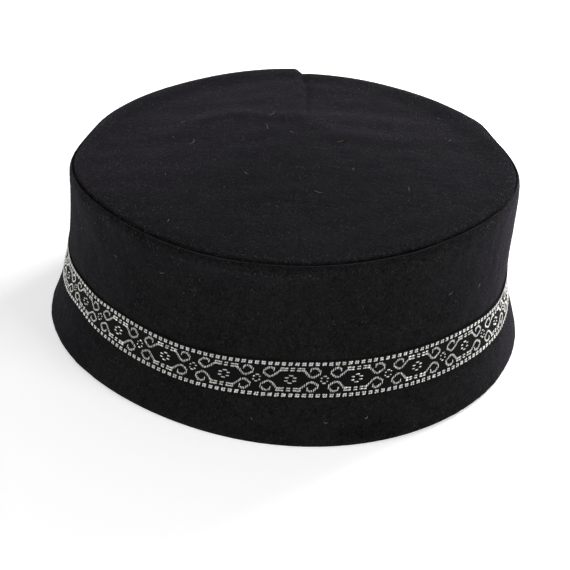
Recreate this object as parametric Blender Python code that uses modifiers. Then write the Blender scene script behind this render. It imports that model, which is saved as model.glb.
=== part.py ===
"""A soft felt kufi cap: a flared wall with a turned-up hem, a flat crown sewn into its top edge,
and a woven ribbon stitched round it.

Metres, +Z up. The rim rests on Z = 0, the front faces -Y and the origin is in the middle of the rim.
Each piece is turned as a round profile first, then every point is moved by soft_form, which gives
the cap its slouch, so that neighbouring pieces keep their gap wherever the cloth leans.
"""

import math
from collections import namedtuple

import bmesh
import bpy

# Wall
WALL_RADIUS = 0.0919  # outside of the upright cloth
WALL_HEIGHT = 0.0705  # rim to the crown seam, mean of all sides
FLARE_OUT = 0.0072  # how far the rim stands out from the upright cloth
FLARE_HEIGHT = 0.0420  # where the flare has died away
FELT_THICKNESS = 0.0015
HEM_DEPTH = 0.0120  # felt turned up inside the rim

# Crown and its seam
SEAM_ALLOWANCE = 0.0050  # both edges turned down inside the cap
SEAM_GAP = 0.0003
CROWN_RISE = 0.0035  # the middle of the crown above its edge

# Ribbon
RIBBON_WIDTH = 0.0150
RIBBON_THICKNESS = 0.0008
RIBBON_LOWER_EDGE = 0.0172  # above the rim
RIBBON_SINK = 0.0006  # the stitching draws the felt in by this much
RIBBON_GAP = 0.0003
PUCKER_WIDTH = 0.0016  # the felt comes back out over this height beside the ribbon

STEPS_AROUND = 72
ROLL_STEPS = 5

# How far out each side stands, as a share of the round profile, at four heights
Ring = namedtuple("Ring", "height right back_right back back_left left front_left front front_right")
RINGS = (
    Ring(0.00, 0.975, 0.980, 1.045, 1.000, 1.015, 0.965, 1.005, 1.025),
    Ring(0.12, 0.980, 0.980, 1.015, 1.015, 1.010, 0.970, 1.000, 1.035),
    Ring(0.35, 0.980, 0.985, 0.990, 1.030, 1.005, 0.975, 0.995, 1.035),
    Ring(0.73, 1.005, 0.990, 1.000, 1.030, 0.985, 0.965, 1.000, 1.025),
    Ring(1.00, 1.005, 0.965, 0.995, 1.020, 0.975, 0.990, 1.020, 1.030),
)

# The slouch leaves the outline off to one side, so all of it moves back over the origin
SHIFT_X = 0.0018
SHIFT_Y = -0.0017

# How high each side stands, as a share of the mean height
Lift = namedtuple("Lift", "right back_right back back_left left front_left front front_right")
LIFT = Lift(1.000, 0.970, 0.960, 0.920, 0.980, 1.070, 1.045, 1.055)

# Shallow dents where the shoulder gives way, and the places beside them where it stands out.
# Each is whole at its angle and gone past its spread, and pushes by shares of radius and height.
Dent = namedtuple("Dent", "angle spread out lift")
DENTS = (
    Dent(angle=11.0, spread=20.0, out=-0.028, lift=0.0),
    Dent(angle=38.0, spread=24.0, out=0.016, lift=0.0),
    Dent(angle=166.0, spread=20.0, out=-0.028, lift=0.0),
    Dent(angle=242.0, spread=30.0, out=0.0, lift=-0.014),
)
DENT_FOOT = 0.55  # share of the wall's height where a dent has died away

# Folds that run in from the back edge of the crown. A fold starts sharp at its angle and dies away
# over its spread; it reaches in to the inner share of the crown, and is whole from the full share.
Fold = namedtuple("Fold", "angle spread inner full rise")
FOLDS = (
    Fold(angle=87.0, spread=34.0, inner=0.20, full=0.70, rise=0.70 * FELT_THICKNESS),
    Fold(angle=87.0, spread=-80.0, inner=0.24, full=0.62, rise=-1.00 * FELT_THICKNESS),
)
FOLD_FOOT = 0.80  # share of the wall's height where a fold has died away

Felt = namedtuple("Felt", "colour roughness")
BLACK_FELT = Felt((0.012, 0.012, 0.014, 1.0), 0.95)
RIBBON_WEAVE = Felt((0.16, 0.16, 0.16, 1.0), 0.55)


def smooth_step(share):
    share = min(max(share, 0.0), 1.0)
    return share * share * (3.0 - 2.0 * share)


def around(sides, angle):
    """The smooth periodic curve through values at equal steps round the cap, read at an angle."""
    count = len(sides)
    total = 0.0
    for index, value in enumerate(sides):
        turn = angle - 2.0 * math.pi * index / count
        if abs(math.sin(turn / 2.0)) < 1e-9:
            return value
        total += value * math.sin(count * turn / 2.0) / (count * math.tan(turn / 2.0))
    return total


def stand_out(angle, height_share):
    """How far out the cloth stands at an angle and height, as a share of the round profile."""
    heights = [ring.height for ring in RINGS]
    shares = [around(ring[1:], angle) for ring in RINGS]
    slopes = []
    for index in range(len(RINGS)):
        low = max(index - 1, 0)
        high = min(index + 1, len(RINGS) - 1)
        slopes.append((shares[high] - shares[low]) / (heights[high] - heights[low]))
    level = min(max(height_share, heights[0]), heights[-1])
    upper = next(i for i in range(1, len(RINGS)) if level <= heights[i])
    span = heights[upper] - heights[upper - 1]
    t = (level - heights[upper - 1]) / span
    start = shares[upper - 1] * (1 + 2 * t) * (1 - t) ** 2 + slopes[upper - 1] * span * t * (1 - t) ** 2
    end = shares[upper] * t * t * (3 - 2 * t) - slopes[upper] * span * t * t * (1 - t)
    return start + end


def dents(angle, height_share):
    """How far the dents push a point out and up, as shares of the cap's radius and height."""
    out = lift = 0.0
    for dent in DENTS:
        turn = (math.degrees(angle) - dent.angle + 180.0) % 360.0 - 180.0
        strength = 1.0 - smooth_step(abs(turn) / dent.spread)
        out += dent.out * strength
        lift += dent.lift * strength
    depth = smooth_step((height_share - DENT_FOOT) / (1.0 - DENT_FOOT))
    return out * depth, lift * depth


def fold_rise(angle, radius_share, height_share):
    """How much the folds at the back of the crown lift or sink a point."""
    total = 0.0
    for fold in FOLDS:
        turn = (math.degrees(angle) - fold.angle) / fold.spread
        if 0.0 <= turn < 1.0:
            reach = smooth_step((radius_share - fold.inner) / (fold.full - fold.inner))
            total += fold.rise * reach * (1.0 - smooth_step(turn))
    return total * smooth_step((height_share - FOLD_FOOT) / (1.0 - FOLD_FOOT))


def soft_form(point):
    """Moves a point of the round cap to where the soft cloth has it."""
    radius = math.hypot(point.x, point.y)
    angle = math.atan2(point.y, point.x)
    height_share = point.z / WALL_HEIGHT
    radius_share = min(radius / WALL_RADIUS, 1.0)
    dent_out, dent_lift = dents(angle, height_share)
    out = stand_out(angle, height_share) + dent_out * radius_share**4
    lift = 1.0 + (around(LIFT, angle) - 1.0) * radius_share**2 + dent_lift * radius_share**8
    height = point.z * lift + fold_rise(angle, radius_share, height_share)
    return (point.x * out + SHIFT_X, point.y * out + SHIFT_Y, height)


def wall_radius(height):
    """Outside of the felt at a height: upright above, flaring to the rim, drawn in under the ribbon."""
    flare = FLARE_OUT * max(1.0 - height / FLARE_HEIGHT, 0.0) ** 2
    ribbon_middle = RIBBON_LOWER_EDGE + RIBBON_WIDTH / 2.0
    beyond_ribbon = abs(height - ribbon_middle) - RIBBON_WIDTH / 2.0
    drawn_in = RIBBON_SINK * (1.0 - smooth_step(beyond_ribbon / PUCKER_WIDTH))
    return WALL_RADIUS + flare - drawn_in


def arc(centre_r, centre_z, radius, start, end, steps):
    """Points on an arc of the profile, from one angle to another in degrees."""
    points = []
    for step in range(steps + 1):
        angle = math.radians(start + (end - start) * step / steps)
        points.append((centre_r + radius * math.cos(angle), centre_z + radius * math.sin(angle)))
    return points


def spread_heights(low, high, count):
    return [low + (high - low) * step / count for step in range(count + 1)]


def wall_profile():
    """The wall's cut face: down its outside, round the hem's fold, up inside and over the top roll."""
    fold_radius = FELT_THICKNESS / 2.0
    ribbon_upper_edge = RIBBON_LOWER_EDGE + RIBBON_WIDTH
    outer_heights = spread_heights(WALL_HEIGHT, ribbon_upper_edge + PUCKER_WIDTH, 4)
    outer_heights += spread_heights(ribbon_upper_edge, RIBBON_LOWER_EDGE, 2)
    outer_heights += spread_heights(RIBBON_LOWER_EDGE - PUCKER_WIDTH, FELT_THICKNESS, 3)
    outside = [(wall_radius(z), z) for z in outer_heights]

    rim = wall_radius(0.0)
    outer_turn = arc(rim - fold_radius, fold_radius, fold_radius, 0.0, -90.0, 2)
    inner_rim = rim - 2.0 * FELT_THICKNESS
    inner_turn = arc(inner_rim + fold_radius, fold_radius, fold_radius, -90.0, -180.0, 2)

    hem = [(wall_radius(z) - 2.0 * FELT_THICKNESS, z) for z in spread_heights(FELT_THICKNESS, HEM_DEPTH, 2)]
    inner_heights = spread_heights(HEM_DEPTH, WALL_HEIGHT - SEAM_ALLOWANCE, 5)
    inside = [(wall_radius(z) - FELT_THICKNESS, z) for z in inner_heights]
    seam_radius = WALL_RADIUS - 2.0 * FELT_THICKNESS
    allowance = [(seam_radius, WALL_HEIGHT - SEAM_ALLOWANCE)]
    roll = arc(WALL_RADIUS - FELT_THICKNESS, WALL_HEIGHT, FELT_THICKNESS, 180.0, 0.0, ROLL_STEPS)
    return outside + outer_turn + inner_turn + hem + inside + allowance + roll[:-1]


def crown_profile():
    """The crown's cut face: from the middle out over its top, down the seam and back underneath."""
    edge = WALL_RADIUS - 2.0 * FELT_THICKNESS - SEAM_GAP
    flat_radius = edge - FELT_THICKNESS
    top = WALL_HEIGHT + FELT_THICKNESS
    shares = (0.0, 0.12, 0.26, 0.40, 0.54, 0.68, 0.80, 0.91)
    dome = [(flat_radius * s, top + CROWN_RISE * (1.0 - s * s) ** 2) for s in shares]
    roll = arc(flat_radius, WALL_HEIGHT, FELT_THICKNESS, 90.0, 0.0, 3)
    allowance = [
        (edge, WALL_HEIGHT - SEAM_ALLOWANCE),
        (flat_radius, WALL_HEIGHT - SEAM_ALLOWANCE),
        (flat_radius, WALL_HEIGHT),
    ]
    underside = [(r, z - FELT_THICKNESS) for r, z in reversed(dome)]
    return dome + roll + allowance + underside


def ribbon_profile():
    """The ribbon's cut face: down its outside and up the side that lies on the felt."""
    heights = spread_heights(RIBBON_LOWER_EDGE + RIBBON_WIDTH, RIBBON_LOWER_EDGE, 2)
    inside = [(wall_radius(z) + RIBBON_GAP, z) for z in heights]
    outside = [(r + RIBBON_THICKNESS, z) for r, z in inside]
    return outside + list(reversed(inside))


def felt_material(name, finish):
    material = bpy.data.materials.new(name)
    material.use_nodes = True
    shader = material.node_tree.nodes["Principled BSDF"]
    shader.inputs["Base Color"].default_value = finish.colour
    shader.inputs["Roughness"].default_value = finish.roughness
    shader.inputs["Metallic"].default_value = 0.0
    material.diffuse_color = finish.colour
    return material


def turned_mesh(name, profile, closed):
    """Turns a profile in the XZ plane into a round mesh with a Screw modifier."""
    outline = bpy.data.meshes.new(name + "_profile")
    points = [(r, 0.0, z) for r, z in profile]
    edges = [(i, i + 1) for i in range(len(points) - 1)]
    if closed:
        edges.append((len(points) - 1, 0))
    outline.from_pydata(points, edges, [])
    turned = bpy.data.objects.new(name + "_profile", outline)
    bpy.context.scene.collection.objects.link(turned)
    screw = turned.modifiers.new("turn", "SCREW")
    screw.axis = "Z"
    screw.steps = STEPS_AROUND
    screw.render_steps = STEPS_AROUND
    screw.use_merge_vertices = True
    screw.merge_threshold = 0.00001
    graph = bpy.context.evaluated_depsgraph_get()
    mesh = bpy.data.meshes.new_from_object(turned.evaluated_get(graph))
    mesh.name = name
    bpy.data.objects.remove(turned)
    bpy.data.meshes.remove(outline)
    return mesh


def cloth_piece(name, profile, closed, material, collection, parent):
    """Turns a piece, gives it the cap's soft form, and puts it in the cap's collection."""
    mesh = turned_mesh(name, profile, closed)
    shaped = bmesh.new()
    shaped.from_mesh(mesh)
    bmesh.ops.remove_doubles(shaped, verts=shaped.verts, dist=0.00001)
    for vertex in shaped.verts:
        vertex.co = soft_form(vertex.co)
    bmesh.ops.recalc_face_normals(shaped, faces=shaped.faces)
    shaped.to_mesh(mesh)
    shaped.free()
    mesh.shade_smooth()
    mesh.set_sharp_from_angle(angle=math.radians(50.0))
    mesh.materials.clear()
    mesh.materials.append(material)
    piece = bpy.data.objects.new(name, mesh)
    piece.parent = parent
    collection.objects.link(piece)
    return piece


def main():
    for leftover in list(bpy.data.objects):
        bpy.data.objects.remove(leftover)
    collection = bpy.data.collections.new("kufi_cap")
    bpy.context.scene.collection.children.link(collection)
    cap = bpy.data.objects.new("kufi_cap_origin", None)
    collection.objects.link(cap)

    felt = felt_material("black_felt", BLACK_FELT)
    weave = felt_material("ribbon_weave", RIBBON_WEAVE)
    cloth_piece("side_wall", wall_profile(), True, felt, collection, cap)
    cloth_piece("crown_top", crown_profile(), False, felt, collection, cap)
    cloth_piece("woven_ribbon", ribbon_profile(), True, weave, collection, cap)


main()
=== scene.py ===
"""The looks of a soft black felt kufi cap: napped felt, a sewn crown seam, a turned-up hem and a
woven ribbon whose silver threads stand on a black ground.

Every piece is first made on the round cap, in metres, and then moved by soft_form to where the soft
cloth has it, much as the solid model is, so each piece lies on its neighbour.
"""

import math
from collections import namedtuple
from itertools import product

import bpy
import numpy as np
from mathutils import Matrix, Vector


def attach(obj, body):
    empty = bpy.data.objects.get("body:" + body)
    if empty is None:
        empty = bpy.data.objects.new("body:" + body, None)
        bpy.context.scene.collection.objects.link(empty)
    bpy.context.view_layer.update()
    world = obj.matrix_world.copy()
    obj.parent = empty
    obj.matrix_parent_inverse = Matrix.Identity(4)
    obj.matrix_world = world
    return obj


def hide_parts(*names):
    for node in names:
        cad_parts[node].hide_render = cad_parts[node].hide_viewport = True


bl_info = {
    "name": "Felt kufi cap",
    "version": (1, 0, 0),
    "blender": (4, 5, 0),
    "location": "View3D > Sidebar > Cap",
    "description": "Dresses the solid model of a felt kufi cap with felt, nap and a woven ribbon",
    "category": "Object",
}

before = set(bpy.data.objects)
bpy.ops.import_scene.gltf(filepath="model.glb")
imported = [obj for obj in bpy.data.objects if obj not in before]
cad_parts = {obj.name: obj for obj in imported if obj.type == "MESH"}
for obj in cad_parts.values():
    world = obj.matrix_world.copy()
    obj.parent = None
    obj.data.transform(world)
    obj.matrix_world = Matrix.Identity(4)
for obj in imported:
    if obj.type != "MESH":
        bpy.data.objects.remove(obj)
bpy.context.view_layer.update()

# The round cap that the soft form is laid on: the solid model's sizes, with 0.8 mm more flare. CLOTH is
# the felt as it is drawn, a little thinner than the solid's, and HEM_SLACK opens the hem's slit.
WALL_RADIUS = 0.0919
WALL_HEIGHT = 0.0705
FLARE_OUT = 0.0080
FLARE_HEIGHT = 0.0420
FELT = 0.0015
CLOTH = 0.98 * FELT
HEM_DEPTH = 0.0120
HEM_SLACK = 0.0002
SEAM_ALLOWANCE = 0.0050
CROWN_RISE = 0.0035

# The ribbon's place on the wall, how deep it is sewn into the felt and how far past its edges it puckers
RIBBON_WIDTH = 0.0150
RIBBON_LOWER_EDGE = 0.0172
RIBBON_MIDDLE = RIBBON_LOWER_EDGE + RIBBON_WIDTH / 2.0
RIBBON_SINK = 0.0006
PUCKER_WIDTH = 0.0016

# How far the round cap is moved so that the soft cap's outline stands over the origin
SHIFT_X = 0.0018
SHIFT_Y = -0.0017

# How far out each side stands, as a share of the round profile, at five heights
Ring = namedtuple("Ring", "height right back_right back back_left left front_left front front_right")
RINGS = (
    Ring(0.00, 0.975, 0.980, 1.045, 1.000, 1.015, 0.965, 1.005, 1.025),
    Ring(0.12, 0.980, 0.980, 1.015, 1.015, 1.010, 0.970, 1.000, 1.035),
    Ring(0.35, 0.980, 0.985, 0.990, 1.030, 1.005, 0.975, 0.995, 1.035),
    Ring(0.73, 1.005, 0.990, 1.000, 1.030, 0.985, 0.965, 1.000, 1.025),
    Ring(1.00, 1.005, 0.965, 0.995, 1.020, 0.975, 0.990, 1.020, 1.030),
)
Lift = namedtuple("Lift", "right back_right back back_left left front_left front front_right")
LIFT = Lift(1.000, 0.970, 0.960, 0.920, 0.980, 1.070, 1.045, 1.055)

# Shallow dents of the shoulder: angle and spread in degrees, and shares outwards and upwards. They fade
# out downwards, to a share of the wall's height.
Dent = namedtuple("Dent", "angle spread out lift")
DENTS = (
    Dent(angle=11.0, spread=20.0, out=-0.027, lift=0.023),
    Dent(angle=25.0, spread=14.0, out=0.008, lift=0.008),
    Dent(angle=38.0, spread=24.0, out=0.019, lift=0.0),
    Dent(angle=64.0, spread=24.0, out=0.0, lift=0.005),
    Dent(angle=115.0, spread=26.0, out=0.0, lift=0.006),
    Dent(angle=142.0, spread=24.0, out=0.006, lift=0.009),
    Dent(angle=166.0, spread=20.0, out=-0.025, lift=0.018),
    Dent(angle=242.0, spread=30.0, out=0.0, lift=-0.014),
)
DENT_FOOT = 0.55

# The crown's felt at the back, raised left of the crease and sunken right of it, which has the negative
# spread: from and to which share of the radius each grows, and by how much
Fold = namedtuple("Fold", "angle spread inner full rise")
FOLDS = (
    Fold(angle=87.0, spread=34.0, inner=0.20, full=0.70, rise=0.70 * FELT),
    Fold(angle=87.0, spread=-80.0, inner=0.24, full=0.62, rise=-0.72 * FELT),
)
FOLD_FOOT = 0.80

# The crease between the two folds: how far right of the middle it runs, how it drifts left to the back
# edge, how wide its turn is, and the narrow groove where one fold of felt lies against the other
CREASE_ACROSS = 0.0052
CREASE_DRIFT = 0.0019
CREASE_DRIFT_FROM = 0.0660
CREASE_DRIFT_OVER = 0.0200
CREASE_TURN = 0.0046
GROOVE_ASIDE = 0.0013
GROOVE_DEPTH = 0.00045
GROOVE_WIDTH = 0.0013
GROOVE_FROM = 0.22
GROOVE_OVER = 0.30

# Soft rounded ridges of the crown's felt: the points each one runs through, its width and its height
Ridge = namedtuple("Ridge", "points width height")
CROWN_RIDGES = (
    Ridge(((0.005, 0.030), (0.012, 0.021), (0.022, 0.013), (0.035, 0.010), (0.050, 0.011), (0.064, 0.016)),
          0.0070, 0.00045),
    Ridge(((0.008, 0.071), (0.024, 0.070), (0.036, 0.066)), 0.0060, 0.00050),
    Ridge(((-0.004, 0.029), (-0.026, 0.033), (-0.038, 0.027), (-0.050, 0.015)), 0.0055, 0.00045),
    Ridge(((-0.054, 0.040), (-0.040, 0.039)), 0.0070, -0.00040),
    Ridge(((0.010, 0.046), (0.024, 0.046), (0.048, 0.043)), 0.0080, -0.00055),
)

# Soft ridges of the wall: the angle and height of the points each one runs through
WALL_RIDGES = (
    Ridge(((207.0, 0.066), (217.0, 0.057), (228.0, 0.047)), 0.0070, 0.00055),
    Ridge(((300.0, 0.066), (308.0, 0.052), (312.0, 0.040)), 0.0090, 0.00040),
)

# The shallow hollow in the front of the wall: its left side, its right side above and below, its foot and
# its head, each with how soft it is, and its depth
HOLLOW_LEFT = 247.0
HOLLOW_LEFT_SOFT = 14.0
HOLLOW_RIGHT_ABOVE = 278.0
HOLLOW_RIGHT_BELOW = 289.0
HOLLOW_RIGHT_SOFT = 7.0
HOLLOW_FOOT = 0.0325
HOLLOW_FOOT_SOFT = 0.012
HOLLOW_HEAD = 0.0700
HOLLOW_HEAD_SOFT = 0.008
HOLLOW_DEPTH = 0.0019

# The seam of the crown and the wall: the wall's felt rolls over the shoulder to the seam, and both
# cloths are pressed thinner towards it
SEAM_RADIUS = 0.0886
SEAM_TOP = WALL_HEIGHT + 0.0010
SEAM_BEND = 0.00140
SEAM_SLIT = 0.00020
SHOULDER_FOOT = WALL_HEIGHT - 0.0032
SHOULDER_ACROSS = WALL_RADIUS - SEAM_RADIUS - SEAM_BEND
SHOULDER_RISE = SEAM_TOP - SHOULDER_FOOT
SHOULDER_LENGTH = 0.80 * (SHOULDER_ACROSS + SHOULDER_RISE)
PRESSED = 0.00084
PRESSED_ALLOWANCE = 0.00124
PRESS_DEPTH = 0.0055

# The crown's outer face: how high it stands over the wall, and how its edge slopes down, sinks in front
# and puffs up at the back
CROWN_LIFT = 0.0022
SLOPE_REACH = 0.0062
SLOPE_DROP = 0.0005
EDGE_REACH = 2.2 * SLOPE_REACH
EDGE_TURN = 1.2 * WALL_RADIUS
FRONT_BIAS = 0.3
FRONT_SINK = 0.0004
BACK_BIAS = 0.5
BACK_PUFF = 0.0014
CROWN_SLOPE = math.atan(2.0 * SLOPE_DROP / SLOPE_REACH)
CROWN_BEND = SEAM_BEND - PRESSED / 2.0
CROWN_EDGE = SEAM_RADIUS - SEAM_SLIT - SEAM_BEND + CROWN_BEND * math.sin(CROWN_SLOPE)
CROWN_TIP = 0.00004
CROWN_FIRST_ROW = 0.0010

# Where the seam lies further out than elsewhere, and the radii and heights over which the felt follows it
Spread = namedtuple("Spread", "angle spread out")
SEAM_SPREADS = (
    Spread(angle=198.0, spread=50.0, out=0.0017),
    Spread(angle=345.0, spread=42.0, out=0.0017),
)
SEAM_DRAWS_FROM = 0.0700
SEAM_DRAWS_TO = 0.0917
SEAM_DRAWS_BELOW = 0.0560
SEAM_DRAWS_SOFT = 0.006

# The felt's unevenness: how wide its lumps are, how high, and the seed of their chance. The crown's fade
# out towards its edge, and the wall's are only on its outer face.
Lumps = namedtuple("Lumps", "size height seed")
WALL_LUMPS = (Lumps(0.011, 0.00007, 3), Lumps(0.0030, 0.000035, 4))
CROWN_LUMPS = (Lumps(0.016, 0.00008, 7), Lumps(0.0036, 0.000020, 8))
LUMP_WAVES = 24
LUMPS_FADE_FROM = 0.92 * CROWN_EDGE
LUMPS_FADE_OVER = 0.08 * CROWN_EDGE
OUTER_FACE = 0.65 * FELT
RIM_FLAT = 0.00002

# Where the ribbon wanders off its level round the cap, and where it is drawn narrower, as a share
Wander = namedtuple("Wander", "angle spread rise")
RIBBON_RISE = 0.0006
RIBBON_WANDERS = (
    Wander(angle=205.0, spread=12.0, rise=0.0010),
    Wander(angle=247.0, spread=30.0, rise=-0.0016),
    Wander(angle=334.0, spread=24.0, rise=-0.0019),
)
RIBBON_NARROWS = (
    Wander(angle=205.0, spread=22.0, rise=-0.14),
    Wander(angle=336.0, spread=26.0, rise=-0.09),
)

# How far the ornament slips along the ribbon, which is eased round the cap: angle from the front, slip
Slip = namedtuple("Slip", "angle slip")
RIBBON_SLIPS = (
    Slip(-180.0, 0.0),
    Slip(-60.0, -0.0012),
    Slip(-22.0, -0.0012),
    Slip(10.0, 0.0006),
    Slip(45.0, 0.0004),
    Slip(56.0, 0.0012),
    Slip(180.0, 0.0),
)

# The ribbon's build: its corded edges' radius, its face as a share of its thickness, how far in its back
# lies, how far it stands off the felt, and its wefts in all and warps across
RIBBON_CORD = 0.00042
RIBBON_FACE = 0.80
RIBBON_BACK_INSET = 0.0001
RIBBON_SEAT = 0.00012
WEFTS = 600
WARPS = 17

# The ornament, in metres from the middle of its large flower: half a repeat, above the ribbon's middle.
# Its rows slant along the ribbon by a share of their height, and floats that meet overlap a little.
REPEATS = 24
FIRST_FLOWER = 0.0019
SLANT = 0.19
BORDER_ROWS = (0.00577, 0.00647)
BORDER_SQUARES = 10
BORDER_SHARE = 0.62
BORDER_OVERLAP = 1.04
BORDER_THREAD = 0.98
BAR_ROWS = (0.0035, 0.0044)
BAR_START = 0.0016
BAR_END = 0.0045
BAR_OVERLAP = 1.02
BAR_WIDTH = 0.00064
MIDDLE_BAR_END = 0.0007
MIDDLE_BAR_OVERLAP = 1.05
MIDDLE_BAR_WIDTH = 0.00062
FLOWER_WIDTH = 0.00056
SCROLL_PITCH = 0.00060
SCROLL_STROKE = 0.00094
SCROLL_FLOAT_WIDTH = 0.00038
SCROLL_LONGEST = 0.0015
SCROLL_LINE = (
    (0.0041, 0.0036),
    (0.0051, 0.0027),
    (0.0061, 0.0017),
    (0.0070, 0.0010),
    (0.0081, 0.0009),
    (0.0094, 0.0017),
    (0.0106, 0.0026),
    (0.0098, 0.0035),
    (0.0089, 0.0043),
    (0.0078, 0.0045),
    (0.0069, 0.0042),
    (0.0063, 0.0037),
    (0.0071, 0.0031),
)
FlowerThread = namedtuple("FlowerThread", "along above length")
LARGE_FLOWER = (
    FlowerThread(0.0000, 0.00145, 0.0017),
    FlowerThread(0.0015, 0.00062, 0.0014),
)
SMALL_FLOWER = (
    FlowerThread(0.0000, 0.00135, 0.0013),
    FlowerThread(0.0011, 0.00060, 0.0007),
)

# One float of silver thread, and how far each is scattered from its place, in metres and degrees
Float = namedtuple("Float", "along above length width turn")
FLOAT_SCATTER = Float(0.00004, 0.00004, 0.00005, 0.00002, 4.0)
ALONG, UPRIGHT = 0.0, 90.0
SIDES = (-1.0, 1.0)
HALVES = (-0.5, 0.5)

# A float's shape, as shares of its size: where it bends, how its ends are pinched and dip, how deep it
# sits in the ground, how tall it is drawn and how its rise varies
THREAD_SIDES = 6
THREAD_CUTS = (-0.28, 0.28)
THREAD_PINCH = 0.30
THREAD_DIP = 0.55
THREAD_SEAT = 0.10
THREAD_HEIGHT = 1.8
THREAD_RISES = (0.80, 1.20)

# How finely the pieces are cut: steps round the cap, rows along each cloth and steps in each bend. On one
# face of each cloth, the crown's lower and the wall's outer, one point in three is kept, and each one
# where the cloth bends.
STEPS_AROUND = 600
RIBBON_STEPS_AROUND = 1200
RIBBON_ANGLES = 2881
HEM_ROWS = 8
RIM_STEPS = 6
WALL_ROWS = 66
SHOULDER_STEPS = 8
ROLL_STEPS = 5
ALLOWANCE_STEPS = 5
CROWN_ROWS = 84
CROWN_BEND_STEPS = 6
RIBBON_ROWS = 35
CORD_STEPS = 6
CUT_EDGE_STEPS = 4
COARSE_FACE_EVERY = 3
BEND_KEPT = 0.05
SAME_POINT = 0.000002

# The nap's hairs: shares of their length, their width, bow and lift, and where they lie beside the seam,
# the rim and the ribbon. One crown hair in seven lies over the seam, and one wall hair in four each below
# the ribbon and over the shoulder
NAP_SEED = 11
HAIR_SIDES = 3
HAIR_LENGTHS = (0.4, 1.3)
HAIR_WIDTHS = (0.000025, 0.00005)
HAIR_BOW = 0.00016
HAIR_LIFT = 0.00030
HAIR_THIN = 0.55
NAP_SEAM_ONE_IN = 7
NAP_BAND_ONE_IN = 4
NAP_INSIDE_SEAM = 0.0022
NAP_OUTSIDE_SEAM = 0.0004
NAP_ABOVE_RIM = 0.0010
NAP_BELOW_RIBBON = 0.0008
NAP_ABOVE_RIBBON = 0.0016

# Pale fibres and specks caught in the nap: on the crown in millimetres across and back, on the wall by
# angle and height in millimetres; then each one's heading, length and bow, also in millimetres. A speck,
# which is under 1 mm long, is twice as wide.
Lint = namedtuple("Lint", "place height heading length bow")
CROWN_LINT = (
    Lint(-49.4, 10.8, 20.0, 0.8, 0.0),
    Lint(-40.3, 5.0, 70.0, 4.6, 1.1),
    Lint(-49.7, -27.0, 110.0, 0.7, 0.0),
    Lint(-44.4, -64.0, 40.0, 0.8, 0.1),
    Lint(-17.3, -24.8, -60.0, 3.2, 0.3),
    Lint(0.1, 13.0, -62.0, 3.6, 0.5),
    Lint(-9.5, 17.0, 95.0, 6.4, 0.6),
    Lint(-7.6, 30.5, 58.0, 4.8, 1.2),
    Lint(10.7, -37.4, 165.0, 3.4, -0.5),
    Lint(20.6, 5.4, 15.0, 2.6, 0.4),
    Lint(24.3, -18.4, 55.0, 2.0, 0.3),
    Lint(64.6, 39.0, 130.0, 2.2, 0.2),
    Lint(67.2, 14.6, 35.0, 1.8, -0.3),
    Lint(45.0, -32.6, 95.0, 2.6, 0.4),
    Lint(-45.3, 26.6, 15.0, 2.2, 0.2),
)
WALL_LINT = (
    Lint(320.9, 46.2, 80.0, 1.6, 0.2),
    Lint(310.1, 49.9, 30.0, 1.9, 0.4),
    Lint(204.0, 53.7, 60.0, 0.8, 0.0),
    Lint(223.5, 55.0, 120.0, 0.8, 0.1),
    Lint(239.3, 58.3, 15.0, 2.6, 0.5),
    Lint(288.2, 9.9, 40.0, 1.4, 0.3),
    Lint(262.8, 8.9, 100.0, 1.3, 0.2),
    Lint(279.1, 9.2, 160.0, 1.6, -0.3),
    Lint(35.0, 48.0, 70.0, 2.4, 0.5),
    Lint(98.0, 12.0, 20.0, 1.8, 0.3),
    Lint(131.0, 55.0, 140.0, 2.2, 0.4),
    Lint(172.0, 44.0, 65.0, 1.7, -0.2),
)
LINT_WIDTH = 0.00010
LINT_LIFT = 0.0004
LINT_CUTS = (-0.3, -0.1, 0.1, 0.3)
SPECK = 1.0
MM_PER_METRE = 1000.0

# The studio: each soft light's name, place and size, what the lights aim at, and the ground
Lamp = namedtuple("Lamp", "name place size")
LAMPS = (
    Lamp("left_light", (-1.05, -0.40, 0.18), 0.7),
    Lamp("right_light", (0.95, -0.80, 0.30), 0.6),
    Lamp("back_light", (0.34, 0.36, 0.34), 0.3),
)
LAMPS_AIM = (0.0, 0.0, 0.04)
GROUND_SIZE = 12.0
GROUND_GLOW = 0.46

# The camera's place, its right and its up, at the photograph's angle
CAMERA_PLACE = (-0.00085 + SHIFT_X, -0.53957 + SHIFT_Y, 0.34555)
CAMERA_RIGHT = (0.9997, 0.0129, 0.0207)
CAMERA_UP = (-0.0244, 0.5285, 0.8486)
CAMERA_NEAR = 0.01
SENSOR_WIDTH = 36.0


class CapFeltSettings(bpy.types.PropertyGroup):
    """The felt's finish and its nap."""

    felt_colour: bpy.props.FloatVectorProperty(
        name="Felt", description="The felt's darkest tone", subtype="COLOR", size=3,
        min=0.0, max=1.0, default=(0.0016, 0.0016, 0.0017))
    felt_light: bpy.props.FloatVectorProperty(
        name="Felt flecks", description="The lighter tone mottled through the felt", subtype="COLOR",
        size=3, min=0.0, max=1.0, default=(0.0122, 0.0119, 0.0124))
    nap_colour: bpy.props.FloatVectorProperty(
        name="Nap", description="The single hairs of the nap", subtype="COLOR", size=3,
        min=0.0, max=1.0, default=(0.027, 0.026, 0.028))
    lint_colour: bpy.props.FloatVectorProperty(
        name="Lint", description="Pale fibres caught in the nap", subtype="COLOR", size=3,
        min=0.0, max=1.0, default=(0.42, 0.41, 0.40))
    nap_length: bpy.props.FloatProperty(
        name="Nap length", description="Length of a nap hair", subtype="DISTANCE", unit="LENGTH",
        min=0.0002, max=0.005, default=0.0016)
    nap_hairs: bpy.props.IntProperty(
        name="Nap hairs", description="Nap hairs on the crown; the wall carries two thirds as many",
        min=100, max=16000, default=13000)


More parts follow.
